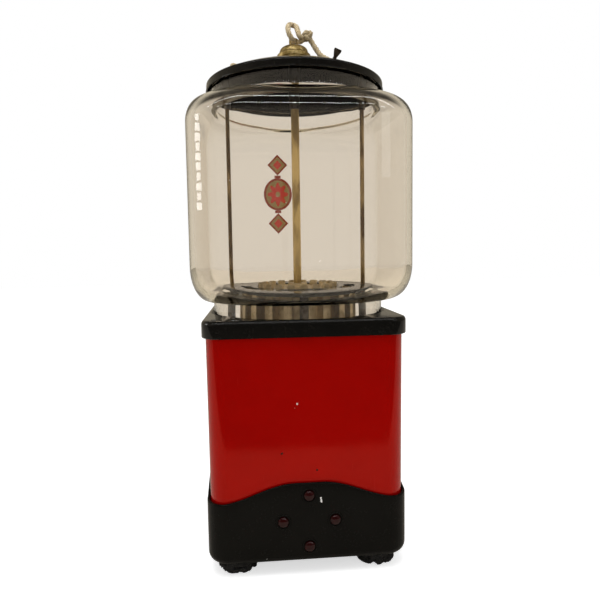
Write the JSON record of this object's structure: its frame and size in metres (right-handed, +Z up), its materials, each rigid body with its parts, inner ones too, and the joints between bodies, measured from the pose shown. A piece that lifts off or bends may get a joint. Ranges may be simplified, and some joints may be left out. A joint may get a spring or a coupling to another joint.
{
  "type": "gumball machine",
  "caption": "Counter-top gumball machine: rounded square glass globe, black domed lid with brass nut and string, red sheet-metal body and black arched base.",
  "frame": {"origin": "middle of the footprint on the plane the feet stand on", "axes": "+Z up, -Y towards the coin front with its handle, +Y the back, +X to the right of someone facing the coin front"},
  "size_m": [0.166, 0.1754, 0.4211],
  "materials": {
    "black_paint": "gloss",
    "red_paint": "gloss",
    "clear_glass": "clear, slightly warm",
    "old_brass": "worn",
    "dark_steel": "dull",
    "cast_metal": "as cast",
    "bright_plating": "polished",
    "black_rubber": "matte, perished",
    "red_jewel": "gloss",
    "cotton": "twisted cotton"
  },
  "bodies": {
    "machine": {"foot_front_left": "black_rubber", "foot_front_right": "black_rubber", "foot_back_left": "black_rubber", "foot_back_right": "black_rubber", "base_skirt": "black_paint", "jewel_back_top": "red_jewel", "jewel_back_bottom": "red_jewel", "jewel_back_near": "red_jewel", "jewel_back_far": "red_jewel", "jewel_left_top": "red_jewel", "jewel_left_bottom": "red_jewel", "jewel_left_near": "red_jewel", "jewel_left_far": "red_jewel", "jewel_right_top": "red_jewel", "jewel_right_bottom": "red_jewel", "jewel_right_near": "red_jewel", "jewel_right_far": "red_jewel", "bottom_pan": "black_paint", "rod_bottom_nut": "dark_steel", "body_shell": "red_paint", "top_plate": "black_paint", "foot_gasket": "black_rubber", "globe": "clear_glass", "centre_rod": "old_brass", "side_rod_left": "old_brass", "side_rod_right": "old_brass", "hopper_plate": "black_paint", "hopper_post_left": "dark_steel", "hopper_post_right": "dark_steel", "hopper_post_front": "dark_steel", "hopper_post_back": "dark_steel", "idler_axle": "dark_steel", "gear_bracket": "dark_steel", "coin_front": "bright_plating", "front_screw_top_left": "dark_steel", "front_screw_top_right": "dark_steel", "front_screw_bottom_left": "dark_steel", "front_screw_bottom_right": "dark_steel", "chute": "cast_metal", "flap_pin": "dark_steel"},
    "handle": {"turn_handle": "bright_plating", "handle_shaft": "dark_steel", "coin_wheel": "cast_metal", "drive_gear": "cast_metal"},
    "idler": {"idler_gear": "cast_metal"},
    "wheel": {"dispensing_wheel": "cast_metal"},
    "flap": {"chute_flap": "bright_plating"},
    "lid": {"lid": "black_paint", "mouth_gasket": "black_rubber", "lid_boss": "dark_steel", "lid_sleeve_left": "dark_steel", "lid_sleeve_right": "dark_steel"},
    "nut": {"lock_nut": "old_brass", "string_loop": "cotton", "string_knot": "cotton", "string_tail": "cotton", "string_short_end": "cotton", "string_clip": "dark_steel"}
  },
  "joints": [
    {"name": "handle_turn", "type": "hinge", "parent": "machine", "child": "handle", "pos_m": [0, 0.0047, 0.14], "axis": [0, 1, 0], "continuous": true},
    {"name": "idler_turn", "type": "hinge", "parent": "machine", "child": "idler", "pos_m": [0, 0.0047, 0.16475], "axis": [0, 1, 0], "continuous": true},
    {"name": "wheel_turn", "type": "hinge", "parent": "machine", "child": "wheel", "pos_m": [0, 0.0047, 0.19], "axis": [0, 0, 1], "continuous": true},
    {"name": "flap_swing", "type": "hinge", "parent": "machine", "child": "flap", "pos_m": [0, -0.0733, 0.1018], "axis": [-1, 0, 0], "range_deg": [0, 70]},
    {"name": "lid_lift", "type": "slide", "parent": "machine", "child": "lid", "axis": [0, 0, 1], "range_m": [0, 0.06]},
    {"name": "nut_turn", "type": "hinge", "parent": "lid", "child": "nut", "pos_m": [0, 0.0047, 0.39], "axis": [0, 0, 1], "continuous": true}
  ],
  "couplings": [
    {"joint": "idler_turn", "follows": "handle_turn", "ratio": -1.2},
    {"joint": "wheel_turn", "follows": "handle_turn", "ratio": -0.42857}
  ]
}
